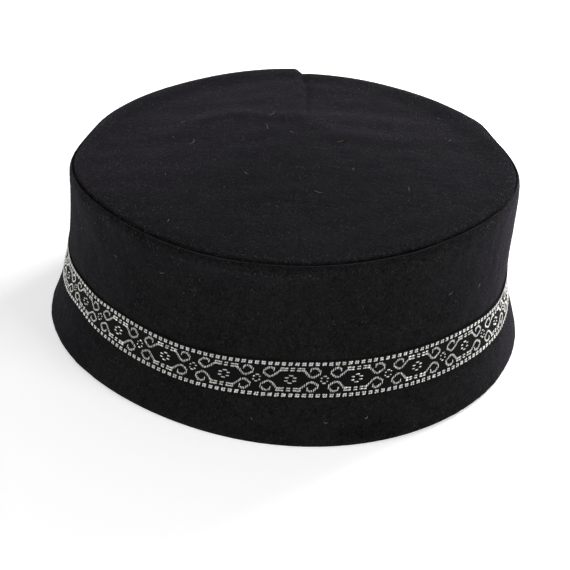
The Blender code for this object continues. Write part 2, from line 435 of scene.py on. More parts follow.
class CapRibbonSettings(bpy.types.PropertyGroup):
    """The woven ribbon's sizes and finishes."""

    ground_colour: bpy.props.FloatVectorProperty(
        name="Ground", description="The black satin ground", subtype="COLOR", size=3,
        min=0.0, max=1.0, default=(0.0032, 0.0032, 0.0036))
    silver_colour: bpy.props.FloatVectorProperty(
        name="Silver thread", description="The metallic thread", subtype="COLOR", size=3,
        min=0.0, max=1.0, default=(0.56, 0.555, 0.53))
    ribbon_thickness: bpy.props.FloatProperty(
        name="Ribbon thickness", description="The ribbon's own thickness", subtype="DISTANCE",
        unit="LENGTH", min=0.0002, max=0.001, default=0.0007)
    thread_rise: bpy.props.FloatProperty(
        name="Thread rise", description="How far a silver thread stands above the ground",
        subtype="DISTANCE", unit="LENGTH", min=0.00005, max=0.0005, default=0.00024)


class CapStudioSettings(bpy.types.PropertyGroup):
    """The camera, lights and ground."""

    lens: bpy.props.FloatProperty(
        name="Lens", description="Focal length on a 36 mm sensor", min=20.0, max=300.0, default=93.5)
    left_power: bpy.props.FloatProperty(
        name="Left light", description="Strength of the light on the left", subtype="POWER", unit="POWER",
        min=0.0, max=200.0, default=10.5)
    right_power: bpy.props.FloatProperty(
        name="Right light", description="Strength of the light on the right", subtype="POWER", unit="POWER",
        min=0.0, max=200.0, default=11.8)
    back_power: bpy.props.FloatProperty(
        name="Back light", description="Strength of the near light at the back right", subtype="POWER",
        unit="POWER", min=0.0, max=200.0, default=4.6)
    room_front: bpy.props.FloatProperty(
        name="Room at the front", description="Strength of the room's light from the front",
        min=0.0, max=5.0, default=0.17)
    room_back: bpy.props.FloatProperty(
        name="Room at the back", description="Strength of the room's light from the back",
        min=0.0, max=5.0, default=0.33)


def smooth_step(share):
    """Eases from 0 to 1 as the share goes from 0 to 1."""
    share = np.clip(share, 0.0, 1.0)
    return share * share * (3.0 - 2.0 * share)


def closeness(angle, place):
    """1 at a place's angle, easing to 0 at its spread of degrees to either side."""
    turn = (np.degrees(angle) - place.angle + 180.0) % 360.0 - 180.0
    return 1.0 - smooth_step(np.abs(turn / place.spread))


def polar(points):
    """Each point's distance from the cap's axis and its angle round it."""
    return np.hypot(points[:, 0], points[:, 1]), np.arctan2(points[:, 1], points[:, 0])


def from_polar(radius, angle, height):
    return np.column_stack((radius * np.cos(angle), radius * np.sin(angle), height))


def around(sides, angle):
    """The smooth periodic curve through values at equal steps round the cap, read at the angles."""
    count = len(sides)
    total = np.zeros_like(angle)
    for index, value in enumerate(sides):
        turn = angle - 2.0 * math.pi * index / count
        half = np.tan(turn / 2.0)
        near = np.abs(half) < 1e-7
        wave = np.sin(count * turn / 2.0) / (count * np.where(near, 1.0, half))
        total += value * np.where(near, 1.0, wave)
    return total


def stand_out(angle, height_share):
    """How far out the cloth stands, as a share of the round profile."""
    heights = np.array([ring.height for ring in RINGS])
    shares = np.array([around(ring[1:], angle) for ring in RINGS])
    slopes = np.empty_like(shares)
    for index in range(len(RINGS)):
        low, high = max(index - 1, 0), min(index + 1, len(RINGS) - 1)
        slopes[index] = (shares[high] - shares[low]) / (heights[high] - heights[low])
    level = np.clip(height_share, heights[0], heights[-1])
    upper = np.clip(np.searchsorted(heights, level), 1, len(RINGS) - 1)
    lower = upper - 1
    each = np.arange(len(angle))
    span = heights[upper] - heights[lower]
    t = (level - heights[lower]) / span
    start = shares[lower, each] * (1 + 2 * t) * (1 - t) ** 2 + slopes[lower, each] * span * t * (1 - t) ** 2
    end = shares[upper, each] * t * t * (3 - 2 * t) - slopes[upper, each] * span * t * t * (1 - t)
    return start + end


def dents(angle, height_share):
    """How far the shoulder's dents push the cloth out and up, as shares."""
    out = np.zeros_like(angle)
    lift = np.zeros_like(angle)
    for dent in DENTS:
        near = closeness(angle, dent)
        out += dent.out * near
        lift += dent.lift * near
    depth = smooth_step((height_share - DENT_FOOT) / (1.0 - DENT_FOOT))
    return out * depth, lift * depth


def fold_rise(x, angle, radius_share, height_share):
    """How much the folds at the back of the crown lift or sink the cloth either side of the crease."""
    back = radius_share * WALL_RADIUS * np.sin(angle)
    drift = CREASE_DRIFT * smooth_step((back - CREASE_DRIFT_FROM) / CREASE_DRIFT_OVER)
    beside = x - CREASE_ACROSS + drift
    on_left = smooth_step(0.5 - beside / CREASE_TURN)
    total = np.zeros_like(angle)
    for fold in FOLDS:
        side = on_left if fold.spread > 0.0 else 1.0 - on_left
        reach = smooth_step((radius_share - fold.inner) / (fold.full - fold.inner))
        total += side * fold.rise * reach * closeness(angle, fold)
    groove = np.exp(-(((beside - GROOVE_ASIDE) / GROOVE_WIDTH) ** 2))
    groove *= smooth_step((radius_share - GROOVE_FROM) / GROOVE_OVER) * (np.sin(angle) > 0.0)
    total -= GROOVE_DEPTH * groove
    return total * smooth_step((height_share - FOLD_FOOT) / (1.0 - FOLD_FOOT))


def seam_spread(radius, angle, z):
    """How far out the seam and the cloth near it are drawn, where the seam lies near the cap's side."""
    total = sum(spread.out * closeness(angle, spread) for spread in SEAM_SPREADS)
    inside = smooth_step((radius - SEAM_DRAWS_FROM) / (SEAM_RADIUS - SEAM_DRAWS_FROM))
    outside = 1.0 - smooth_step((radius - SEAM_RADIUS) / (SEAM_DRAWS_TO - SEAM_RADIUS))
    return total * inside * outside * smooth_step((z - SEAM_DRAWS_BELOW) / SEAM_DRAWS_SOFT)


def soft_form(points):
    """Moves points of the round cap to where the soft cloth has them."""
    radius, angle = polar(points)
    x, y, z = points.T
    drawn = 1.0 + seam_spread(radius, angle, z) / np.maximum(radius, SEAM_DRAWS_FROM / 2.0)
    x, y, radius = x * drawn, y * drawn, radius * drawn
    height_share = z / WALL_HEIGHT
    radius_share = np.minimum(radius / WALL_RADIUS, 1.0)
    dent_out, dent_lift = dents(angle, height_share)
    out = stand_out(angle, height_share) + dent_out * radius_share**4
    lift = 1.0 + (around(LIFT, angle) - 1.0) * radius_share**2 + dent_lift * radius_share**8
    height = z * lift + fold_rise(x, angle, radius_share, height_share)
    return np.column_stack((x * out + SHIFT_X, y * out + SHIFT_Y, height))


def ribbon_wander(angle):
    """How far the ribbon's middle stands above its level, round the cap."""
    return sum((wander.rise * closeness(angle, wander) for wander in RIBBON_WANDERS), RIBBON_RISE)


def ribbon_width_share(angle):
    """The ribbon's width as a share of its full width, round the cap."""
    return sum((narrow.rise * closeness(angle, narrow) for narrow in RIBBON_NARROWS), 1.0)


def along_ridges(ridges, points):
    """The extra height of soft ridges at the points."""
    rise = np.zeros(len(points))
    for ridge in ridges:
        line = np.array(ridge.points)
        nearest = np.full(len(points), 1.0)
        for start, end in zip(line[:-1], line[1:]):
            run = end - start
            share = np.clip(((points - start) @ run) / (run @ run), 0.0, 1.0)
            gap = np.linalg.norm(points - (start + share[:, None] * run), axis=1)
            nearest = np.minimum(nearest, gap)
        rise += ridge.height * np.exp(-((nearest / ridge.width) ** 2))
    return rise


def flare(height):
    """How far the round wall's foot flares out at a height."""
    return FLARE_OUT * np.maximum(1.0 - height / FLARE_HEIGHT, 0.0) ** 2


def wall_relief(height, angle):
    """How far the wall's soft ridges and its front hollow stand out or in."""
    turned = np.degrees(angle) % 360.0
    places = np.column_stack((np.radians(turned) * WALL_RADIUS, height))
    ridges = []
    for ridge in WALL_RIDGES:
        line = [(math.radians(degrees) * WALL_RADIUS, z) for degrees, z in ridge.points]
        ridges.append(ridge._replace(points=line))
    below = smooth_step((WALL_HEIGHT - height) / (WALL_HEIGHT - HOLLOW_FOOT))
    right_side = HOLLOW_RIGHT_ABOVE + (HOLLOW_RIGHT_BELOW - HOLLOW_RIGHT_ABOVE) * below
    hollow = smooth_step((turned - HOLLOW_LEFT) / HOLLOW_LEFT_SOFT + 0.5)
    hollow *= 1.0 - smooth_step((turned - right_side) / HOLLOW_RIGHT_SOFT + 0.5)
    foot = smooth_step((height - HOLLOW_FOOT) / HOLLOW_FOOT_SOFT)
    hollow *= foot * (1.0 - smooth_step((height - HOLLOW_HEAD) / HOLLOW_HEAD_SOFT + 1.0))
    return along_ridges(ridges, places) - HOLLOW_DEPTH * hollow


def wall_radius(height, angle):
    """Outside of the felt: upright above, flaring to the rim, drawn in under the ribbon."""
    beyond_ribbon = np.abs(height - RIBBON_MIDDLE - ribbon_wander(angle)) - RIBBON_WIDTH / 2.0
    drawn_in = RIBBON_SINK * (1.0 - smooth_step(beyond_ribbon / PUCKER_WIDTH))
    return WALL_RADIUS + flare(height) - drawn_in + wall_relief(height, angle)


def felt_lumps(points, kinds):
    """A smooth random height at points in space, for cloth that isn't quite even."""
    total = 0.0
    for kind in kinds:
        chance = np.random.default_rng(kind.seed)
        waves = np.zeros(len(points))
        for _ in range(LUMP_WAVES):
            direction = chance.normal(size=3)
            direction /= np.linalg.norm(direction)
            wavelength = kind.size * chance.uniform(0.6, 1.7)
            turns = points @ direction * (2.0 * math.pi / wavelength)
            waves += np.sin(turns + chance.uniform(0.0, 2.0 * math.pi))
        total = total + waves / 4.0 * kind.height
    return total


def deselect_all():
    if bpy.context.object and bpy.context.object.mode != "OBJECT":
        bpy.ops.object.mode_set(mode="OBJECT")
    bpy.ops.object.select_all(action="DESELECT")


def select_only(piece):
    deselect_all()
    piece.select_set(True)
    bpy.context.view_layer.objects.active = piece


def get_points(piece):
    flat = np.empty(len(piece.data.vertices) * 3, np.float32)
    piece.data.vertices.foreach_get("co", flat)
    return flat.reshape(-1, 3).astype(float)


def set_points(piece, points):
    piece.data.vertices.foreach_set("co", np.asarray(points, np.float32).ravel())
    piece.data.update()


def turned_piece(name, outline, steps):
    """Draws a closed profile by extruding a point along it, and spins it round the cap's axis."""
    deselect_all()
    bpy.ops.mesh.primitive_plane_add(size=0.001, location=(outline[0][0], 0.0, outline[0][1]))
    piece = bpy.context.object
    piece.name = name
    bpy.ops.object.transform_apply(location=True, rotation=True, scale=True)
    bpy.ops.object.mode_set(mode="EDIT")
    bpy.ops.mesh.select_all(action="SELECT")
    bpy.ops.mesh.merge(type="CENTER")
    for (r0, z0), (r1, z1) in zip(outline[:-1], outline[1:]):
        bpy.ops.mesh.extrude_region_move(TRANSFORM_OT_translate={"value": (r1 - r0, 0.0, z1 - z0)})
    bpy.ops.object.mode_set(mode="OBJECT")
    for vertex in piece.data.vertices:
        vertex.select = vertex.index in (0, len(outline) - 1)
    bpy.ops.object.mode_set(mode="EDIT")
    bpy.ops.mesh.edge_face_add()
    bpy.ops.object.mode_set(mode="OBJECT")
    turn = piece.modifiers.new("Turn", "SCREW")
    turn.angle = 2.0 * math.pi
    turn.steps = turn.render_steps = steps
    turn.axis = "Z"
    turn.use_merge_vertices = True
    turn.merge_threshold = SAME_POINT
    bpy.ops.object.modifier_apply(modifier=turn.name)
    bpy.ops.object.mode_set(mode="EDIT")
    bpy.ops.mesh.select_all(action="SELECT")
    bpy.ops.mesh.remove_doubles(threshold=SAME_POINT)
    bpy.ops.mesh.select_all(action="SELECT")
    bpy.ops.mesh.normals_make_consistent(inside=False)
    bpy.ops.object.mode_set(mode="OBJECT")
    return piece


def finish_piece(piece, material, smooth_angle=60.0):
    """Shades a finished piece, gives it its material and lets it ride on the cap."""
    piece.data.materials.clear()
    piece.data.materials.append(material)
    select_only(piece)
    bpy.ops.object.shade_smooth_by_angle(angle=math.radians(smooth_angle), keep_sharp_edges=False)
    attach(piece, "root")


def cloth_outline(cloth):
    """The closed outline of a cloth's cut edge, from its middle line's radii, heights and half
    thicknesses; the face on the right of the line has fewer points."""
    cloth = np.array(cloth)
    line, half = cloth[:, :2], cloth[:, 2:]
    along = np.gradient(line, axis=0)
    along /= np.linalg.norm(along, axis=1)[:, None]
    side = np.column_stack((-along[:, 1], along[:, 0])) * half
    left, right = line + side, line - side
    kept = np.zeros(len(line), bool)
    kept[::COARSE_FACE_EVERY] = True
    kept[[0, 1, -2, -1]] = True
    bend = np.abs(np.cross(along[:-1], along[1:])) > BEND_KEPT
    kept[1:] |= bend
    kept[:-1] |= bend
    cap_end, cap_start = [], []
    for step in range(1, CUT_EDGE_STEPS):
        turn = math.pi * step / CUT_EDGE_STEPS
        cap_end.append(line[-1] + side[-1] * math.cos(turn) + along[-1] * half[-1] * math.sin(turn))
        cap_start.append(line[0] - side[0] * math.cos(turn) - along[0] * half[0] * math.sin(turn))
    return [tuple(p) for p in (*left, *cap_end, *right[kept][::-1], *cap_start)]


def arc(centre_r, centre_z, radius, start, end, steps):
    """Points along an arc, from one angle to another in degrees."""
    turns = [math.radians(start + (end - start) * step / steps) for step in range(steps + 1)]
    return [(centre_r + radius * math.cos(t), centre_z + radius * math.sin(t)) for t in turns]


def unit_rod(sides, cuts):
    """A rod along X, one long and one thick, cut across where it may bend."""
    deselect_all()
    sideways = (0.0, math.pi / 2.0, 0.0)
    bpy.ops.mesh.primitive_cylinder_add(vertices=sides, radius=0.5, depth=1.0, rotation=sideways)
    rod = bpy.context.object
    bpy.ops.object.transform_apply(location=True, rotation=True, scale=True)
    for cut in cuts:
        bpy.ops.object.mode_set(mode="EDIT")
        bpy.ops.mesh.select_all(action="SELECT")
        bpy.ops.mesh.bisect(plane_co=(cut, 0.0, 0.0), plane_no=(1.0, 0.0, 0.0))
        bpy.ops.object.mode_set(mode="OBJECT")
    return rod


def template(piece):
    """A modelled template's points and triangles; the template itself is then removed."""
    select_only(piece)
    bpy.ops.object.mode_set(mode="EDIT")
    bpy.ops.mesh.select_all(action="SELECT")
    bpy.ops.mesh.quads_convert_to_tris()
    bpy.ops.object.mode_set(mode="OBJECT")
    points = get_points(piece)
    faces = np.array([tuple(face.vertices) for face in piece.data.polygons])
    bpy.data.objects.remove(piece)
    return points, faces


def piece_from_copies(name, placed, faces):
    """A piece holding many copies of a template: each copy's own points, and the template's triangles."""
    count, size = placed.shape[:2]
    corners = faces[None, :, :] + (np.arange(count) * size)[:, None, None]
    mesh = bpy.data.meshes.new(name)
    mesh.vertices.add(count * size)
    mesh.vertices.foreach_set("co", placed.astype(np.float32).ravel())
    mesh.loops.add(corners.size)
    mesh.loops.foreach_set("vertex_index", corners.astype(np.int32).ravel())
    mesh.polygons.add(count * len(faces))
    mesh.polygons.foreach_set("loop_start", np.arange(0, corners.size, 3, dtype=np.int32))
    mesh.update(calc_edges=True)
    mesh.validate()
    piece = bpy.data.objects.new(name, mesh)
    bpy.context.scene.collection.objects.link(piece)
    return piece


def node(tree, kind, place, **settings):
    made = tree.nodes.new(kind)
    made.location = place
    for key, value in settings.items():
        setattr(made, key, value)
    return made


def set_inputs(made, **values):
    """Sets a node's inputs; a name's spaces are written as underscores."""
    for name, value in values.items():
        made.inputs[name.replace("_", " ")].default_value = value


def new_material(name):
    material = bpy.data.materials.new(name)
    material.use_nodes = True
    return material, material.node_tree, material.node_tree.nodes["Principled BSDF"]


def noise(tree, place, vector, **inputs):
    made = node(tree, "ShaderNodeTexNoise", place)
    set_inputs(made, **inputs)
    tree.links.new(vector, made.inputs["Vector"])
    return made.outputs["Fac"]


def bands(tree, place, vector, direction, count, distortion):
    """Even bands, counted over the whole of a map; the texture turns 20 radians to a unit of scale."""
    made = node(tree, "ShaderNodeTexWave", place, wave_type="BANDS", bands_direction=direction)
    set_inputs(made, Scale=count * 2.0 * math.pi / 20.0, Distortion=distortion)
    tree.links.new(vector, made.inputs["Vector"])
    return made.outputs["Fac"]


def sum_of(tree, place, first, weight, second):
    """The first value times a weight, plus the second."""
    made = node(tree, "ShaderNodeMath", place, operation="MULTIPLY_ADD")
    tree.links.new(first, made.inputs[0])
    made.inputs[1].default_value = weight
    tree.links.new(second, made.inputs[2])
    return made.outputs["Value"]


def colour_from(tree, shader, place, value, dark, light, low=0.0, high=1.0):
    """Colours a material from dark to light as a value goes from low to high."""
    ramp = node(tree, "ShaderNodeValToRGB", place)
    for element, position, colour in zip(ramp.color_ramp.elements, (low, high), (dark, light)):
        element.position = position
        element.color = (*colour, 1.0)
    tree.links.new(value, ramp.inputs["Fac"])
    tree.links.new(ramp.outputs["Color"], shader.inputs["Base Color"])


def bump_from(tree, shader, place, value, strength, distance):
    made = node(tree, "ShaderNodeBump", place)
    set_inputs(made, Strength=strength, Distance=distance)
    tree.links.new(value, made.inputs["Height"])
    tree.links.new(made.outputs["Normal"], shader.inputs["Normal"])


def felt_material(settings):
    """Black wool felt: two dark tones mottled together, matted fibres in the bump, a soft sheen."""
    material, tree, shader = new_material("black_wool_felt")
    spot = node(tree, "ShaderNodeTexCoord", (-1400, 0)).outputs["Object"]
    lay = node(tree, "ShaderNodeMapping", (-1200, 300))
    set_inputs(lay, Scale=(1.0, 0.7, 0.7))
    tree.links.new(spot, lay.inputs["Vector"])

    flecks = noise(tree, (-1000, 300), lay.outputs["Vector"], Scale=1300.0, Detail=3.0, Roughness=0.75)
    clumps = noise(tree, (-1000, 100), spot, Scale=240.0, Detail=3.0, Roughness=0.60)
    patches = noise(tree, (-1000, -100), spot, Scale=38.0, Detail=3.0, Roughness=0.50)
    mottle = sum_of(tree, (-780, 250), patches, 0.20, flecks)
    mottle = sum_of(tree, (-600, 250), clumps, 0.25, mottle)
    colour_from(tree, shader, (-400, 240), mottle, settings.felt_colour, settings.felt_light, 0.52, 0.96)

    fibres = noise(tree, (-1000, -340), spot, Scale=2600.0, Detail=2.0, Roughness=0.70)
    heights = sum_of(tree, (-780, -300), fibres, 0.5, flecks)
    heights = sum_of(tree, (-600, -300), clumps, 0.8, heights)
    bump_from(tree, shader, (-240, -260), heights, 0.8, 0.00025)
    set_inputs(shader, Roughness=1.0, Specular_IOR_Level=0.02, Sheen_Weight=0.055,
               Sheen_Roughness=0.36, Sheen_Tint=(0.84, 0.74, 1.0, 1.0))
    return material


def hair_material(name, colour, light):
    """A fine hair: its own tone, a little lighter from hair to hair."""
    material, tree, shader = new_material(name)
    spot = node(tree, "ShaderNodeTexCoord", (-800, 0)).outputs["Object"]
    change = noise(tree, (-600, 0), spot, Scale=300.0)
    colour_from(tree, shader, (-380, 0), change, colour, light, 0.35, 0.70)
    set_inputs(shader, Roughness=0.7, Specular_IOR_Level=0.3, Sheen_Weight=0.3)
    return material


def ribbon_ground_material(settings):
    """Black satin: wefts across the ribbon and finer warps along it, from the ribbon's own map."""
    material, tree, shader = new_material("black_satin_ground")
    weave = node(tree, "ShaderNodeUVMap", (-1200, 0), uv_map="Weave").outputs["UV"]
    wefts = bands(tree, (-900, 120), weave, "X", WEFTS, 0.6)
    warps = bands(tree, (-900, -180), weave, "Y", WARPS, 0.4)
    threads = sum_of(tree, (-640, 0), wefts, 0.6, warps)
    dark = [0.6 * part for part in settings.ground_colour]
    light = [1.4 * part for part in settings.ground_colour]
    colour_from(tree, shader, (-420, 160), threads, dark, light)
    bump_from(tree, shader, (-240, -160), threads, 0.7, 0.00012)
    set_inputs(shader, Roughness=0.70, Specular_IOR_Level=0.03)
    return material


def silver_material(settings):
    """Metallic thread: flat foil strip wound on a core, so it glints in short broken lengths."""
    material, tree, shader = new_material("silver_thread")
    spot = node(tree, "ShaderNodeTexCoord", (-900, 0)).outputs["Object"]
    glints = noise(tree, (-700, 100), spot, Scale=1400.0, Detail=2.0)
    dark = [0.55 * part for part in settings.silver_colour]
    colour_from(tree, shader, (-460, 140), glints, dark, settings.silver_colour, 0.30, 0.62)
    bump_from(tree, shader, (-260, -140), glints, 0.5, 0.00005)
    set_inputs(shader, Metallic=0.95, Roughness=0.30)
    return material


def shared_felt(settings):
    """The one felt of the wall and the crown."""
    return bpy.data.materials.get("black_wool_felt") or felt_material(settings)


def shared_silver(settings):
    """The one thread of the borders and the scrolls."""
    return bpy.data.materials.get("silver_thread") or silver_material(settings)


def pressed(depth, full):
    """Half the thickness of a cloth at a depth below the seam's top."""
    return (PRESSED + (full - PRESSED) * smooth_step(depth / PRESS_DEPTH)) / 2.0


def seam_allowance(radius, side, top):
    """The end of a cloth that hangs down inside the seam: outside a radius, or inside it."""
    cloth = []
    for depth in np.linspace(0.0, SEAM_ALLOWANCE, ALLOWANCE_STEPS + 1)[1:]:
        thick = pressed(depth, PRESSED_ALLOWANCE)
        cloth.append((radius + side * thick, top - depth, thick))
    return cloth


def wall_cloth():
    """The middle line and half thickness of the wall's cloth: down the hem, round the rim, up the wall,
    over the shoulder and down into the seam."""
    half = CLOTH / 2.0
    fold = (FELT + HEM_SLACK) / 2.0
    fold_top = half + fold
    cloth = []
    for z in np.linspace(HEM_DEPTH - half, fold_top, HEM_ROWS):
        cloth.append((WALL_RADIUS + flare(z) - half - 2.0 * fold, z, half))
    rim = arc(WALL_RADIUS + flare(half) - half - fold, fold_top, fold, -180.0, 0.0, RIM_STEPS)
    cloth += [(r, z, half) for r, z in rim[1:-1]]
    for z in np.linspace(fold_top, SHOULDER_FOOT, WALL_ROWS):
        thick = pressed(SHOULDER_FOOT - z, CLOTH)
        cloth.append((WALL_RADIUS + flare(z) - thick, z, thick))
    thick = PRESSED / 2.0
    roll_middle = SEAM_RADIUS + SEAM_BEND
    across = WALL_RADIUS - thick - SEAM_RADIUS - SEAM_BEND
    rise = SEAM_TOP - thick - SHOULDER_FOOT
    for turn in np.radians(np.linspace(90.0, 0.0, SHOULDER_STEPS + 1)[1:]):
        cloth.append((roll_middle + across * math.sin(turn), SHOULDER_FOOT + rise * math.cos(turn), thick))
    roll = arc(roll_middle, SEAM_TOP - SEAM_BEND, SEAM_BEND - thick, 90.0, 180.0, ROLL_STEPS)
    cloth += [(r, z, thick) for r, z in roll[1:]]
    return cloth + seam_allowance(SEAM_RADIUS, 1.0, SEAM_TOP - SEAM_BEND)


def crown_cloth():
    """The middle line and half thickness of the crown's cloth: out from the middle, over its bend and
    down into the seam."""
    cloth = []
    for r in (CROWN_TIP, *np.linspace(CROWN_FIRST_ROW, CROWN_EDGE, CROWN_ROWS)):
        thick = pressed(CROWN_EDGE - r, CLOTH)
        cloth.append((r, crown_top(r) - thick, thick))
    inside = SEAM_RADIUS - SEAM_SLIT
    bend_height = cloth[-1][1] - CROWN_BEND * math.cos(CROWN_SLOPE)
    start = 90.0 - math.degrees(CROWN_SLOPE)
    bend = arc(inside - SEAM_BEND, bend_height, CROWN_BEND, start, 0.0, CROWN_BEND_STEPS)
    cloth += [(r, z, PRESSED / 2.0) for r, z in bend[1:]]
    return cloth + seam_allowance(inside, -1.0, bend_height)


class KUFI_OT_side_wall(bpy.types.Operator):
    """Make the felt wall, with its turned-up hem and the roll of its top edge into the seam"""

    bl_idname = "kufi.side_wall"
    bl_label = "Side wall"

    def execute(self, context):
        wall = turned_piece("felt_wall", cloth_outline(wall_cloth()), STEPS_AROUND)
        points = get_points(wall)
        radius, angle = polar(points)
        face = WALL_RADIUS + flare(points[:, 2])
        drawn = wall_radius(points[:, 2], angle) - face
        lumps = np.where(radius > face - OUTER_FACE, felt_lumps(points, WALL_LUMPS), 0.0)
        points[:, :2] *= ((radius + drawn + lumps) / radius)[:, None]
        points[points[:, 2] < RIM_FLAT, 2] = 0.0
        set_points(wall, soft_form(points))
        finish_piece(wall, shared_felt(context.scene.cap_felt))
        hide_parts("side_wall")
        return {"FINISHED"}


def crown_top(radius):
    """Height of the round crown's outer face at a distance from the axis."""
    share = np.clip(radius / CROWN_EDGE, 0.0, 1.0)
    slope = np.maximum(radius - CROWN_EDGE + SLOPE_REACH, 0.0) / SLOPE_REACH
    return WALL_HEIGHT + CROWN_LIFT + CROWN_RISE * (1.0 - share**2) ** 2 - SLOPE_DROP * slope**2


def crown_relief(x, y):
    """Extra height of the crown's felt: its soft ridges, its sunken front edge and its full back edge."""
    radius = np.hypot(x, y)
    edge = smooth_step((radius - CROWN_EDGE) / EDGE_REACH + 1.0)
    ridges = along_ridges(CROWN_RIDGES, np.column_stack((x, y)))
    ridges *= 1.0 - smooth_step((radius - CROWN_EDGE) / SLOPE_REACH + 1.0)
    front = smooth_step(FRONT_BIAS - y / EDGE_TURN)
    back = smooth_step(BACK_BIAS + y / EDGE_TURN)
    return ridges + (BACK_PUFF * back - FRONT_SINK * front) * edge


class KUFI_OT_crown(bpy.types.Operator):
    """Make the felt crown, with its crease, soft ridges and the edge that turns down into the seam"""

    bl_idname = "kufi.crown"
    bl_label = "Crown"

    def execute(self, context):
        crown = turned_piece("felt_crown", cloth_outline(crown_cloth()), STEPS_AROUND)
        points = get_points(crown)
        radius = polar(points)[0]
        fade = 1.0 - smooth_step((radius - LUMPS_FADE_FROM) / LUMPS_FADE_OVER)
        points[:, 2] += crown_relief(points[:, 0], points[:, 1]) + felt_lumps(points, CROWN_LUMPS) * fade
        set_points(crown, soft_form(points))
        finish_piece(crown, shared_felt(context.scene.cap_felt))
        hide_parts("crown_top")
        return {"FINISHED"}


def ribbon_angles():
    """Angles round the cap and how far along the ribbon's middle each lies, from the front."""
    angles = np.linspace(-1.5 * math.pi, 0.5 * math.pi, RIBBON_ANGLES)
    radius = wall_radius(np.full_like(angles, RIBBON_MIDDLE), angles)
    line = soft_form(from_polar(radius, angles, RIBBON_MIDDLE + ribbon_wander(angles)))
    along = np.concatenate(([0.0], np.cumsum(np.linalg.norm(np.diff(line, axis=0), axis=1))))
    return angles, along - np.interp(-0.5 * math.pi, angles, along)


def on_ribbon(along, above, out):
    """Points on the ribbon: along it from the front, above its middle, and out from the felt."""
    angles, lengths = ribbon_angles()
    total = lengths[-1] - lengths[0]
    place = (along - lengths[0]) % total + lengths[0]
    front_turn = np.degrees(np.interp(place, lengths, angles)) + 90.0
    place = place + np.interp(front_turn, *zip(*RIBBON_SLIPS))
    angle = np.interp(place, lengths, angles)
    height = RIBBON_MIDDLE + ribbon_wander(angle) + above * ribbon_width_share(angle)
    return soft_form(from_polar(wall_radius(height, angle) + out, angle, height))


def map_weave(ribbon, along, above):
    """Gives the ribbon's faces their map: shares along the whole ribbon and across it."""
    lengths = ribbon_angles()[1]
    corner = np.empty(len(ribbon.data.loops), np.int32)
    ribbon.data.loops.foreach_get("vertex_index", corner)
    starts = np.empty(len(ribbon.data.polygons), np.int32)
    ribbon.data.polygons.foreach_get("loop_start", starts)
    share = (along[corner] - lengths[0]) / (lengths[-1] - lengths[0])
    face_of = np.searchsorted(starts, np.arange(len(corner)), side="right") - 1
    ahead = share - share[starts[face_of]]
    share = share - (ahead > 0.5) + (ahead < -0.5)
    places = np.column_stack((share, above[corner] / RIBBON_WIDTH))
    ribbon.data.uv_layers.new(name="Weave").data.foreach_set("uv", places.astype(np.float32).ravel())

class KUFI_OT_ribbon(bpy.types.Operator):
    """Make the ribbon's black satin ground, with its two corded edges"""

    bl_idname = "kufi.ribbon"
    bl_label = "Ribbon"

    def execute(self, context):
        settings = context.scene.cap_ribbon
        half_width = RIBBON_WIDTH / 2.0
        thickness = settings.ribbon_thickness
        flat = half_width - 2.0 * RIBBON_CORD
        back = half_width - RIBBON_BACK_INSET
        cord_out, cord_above = thickness - RIBBON_CORD, half_width - RIBBON_CORD
        outline = arc(cord_out, cord_above, RIBBON_CORD, 90.0, -70.0, CORD_STEPS)
        outline += [(thickness * RIBBON_FACE, above) for above in np.linspace(flat, -flat, RIBBON_ROWS)]
        outline += arc(cord_out, -cord_above, RIBBON_CORD, 70.0, -90.0, CORD_STEPS)
        outline += [(0.0, -back), (0.0, back)]
        outline = [(WALL_RADIUS + out, RIBBON_MIDDLE + above) for out, above in outline]
        ribbon = turned_piece("ribbon_ground", outline, RIBBON_STEPS_AROUND)
        points = get_points(ribbon)
        radius, angle = polar(points)
        above = points[:, 2] - RIBBON_MIDDLE
        folded = np.where(angle > 0.5 * math.pi, angle - 2.0 * math.pi, angle)
        along = np.interp(folded, *ribbon_angles())
        set_points(ribbon, on_ribbon(along, above, radius - WALL_RADIUS + RIBBON_SEAT))
        map_weave(ribbon, along, above)
        finish_piece(ribbon, ribbon_ground_material(settings))
        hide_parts("woven_ribbon")
        return {"FINISHED"}


def thread_template():
    """One float of thread, as a unit: rounded over the top, its two ends dipping into the ground."""
    thread = unit_rod(THREAD_SIDES, THREAD_CUTS)
    points = get_points(thread)
    to_end = np.abs(points[:, 0]) / 0.5
    points[:, 1] *= 1.0 - THREAD_PINCH * to_end**4
    points[:, 2] -= THREAD_DIP * to_end**3
    set_points(thread, points)
    return template(thread)


def silver_threads(name, floats, settings):
    """Lays floats of silver thread on the ribbon, each turned by its own degrees from the ribbon's run."""
    chance = np.random.default_rng(len(floats))
    shape, faces = thread_template()
    floats = np.array(floats)
    floats = floats + chance.normal(size=floats.shape) * FLOAT_SCATTER
    along, above, length, width, turn = floats.T[:, :, None]
    cos, sin = np.cos(np.radians(turn)), np.sin(np.radians(turn))
    run, across = shape[:, 0] * length, shape[:, 1] * width
    along = along + run * cos - across * sin
    above = above + run * sin + across * cos
    rise = settings.thread_rise * chance.uniform(*THREAD_RISES, (len(floats), 1))
    face = settings.ribbon_thickness * RIBBON_FACE + RIBBON_SEAT
    out = face + rise * (THREAD_SEAT + THREAD_HEIGHT * shape[:, 2])
    placed = on_ribbon((along + SLANT * above).ravel(), above.ravel(), out.ravel())
    piece = piece_from_copies(name, placed.reshape(len(floats), -1, 3), faces)
    finish_piece(piece, shared_silver(settings), smooth_angle=80.0)


def repeat_starts():
    """The length of one repeat, and how far along the ribbon each repeat's large flower stands."""
    lengths = ribbon_angles()[1]
    pitch = (lengths[-1] - lengths[0]) / REPEATS
    return pitch, [FIRST_FLOWER + index * pitch for index in range(REPEATS)]


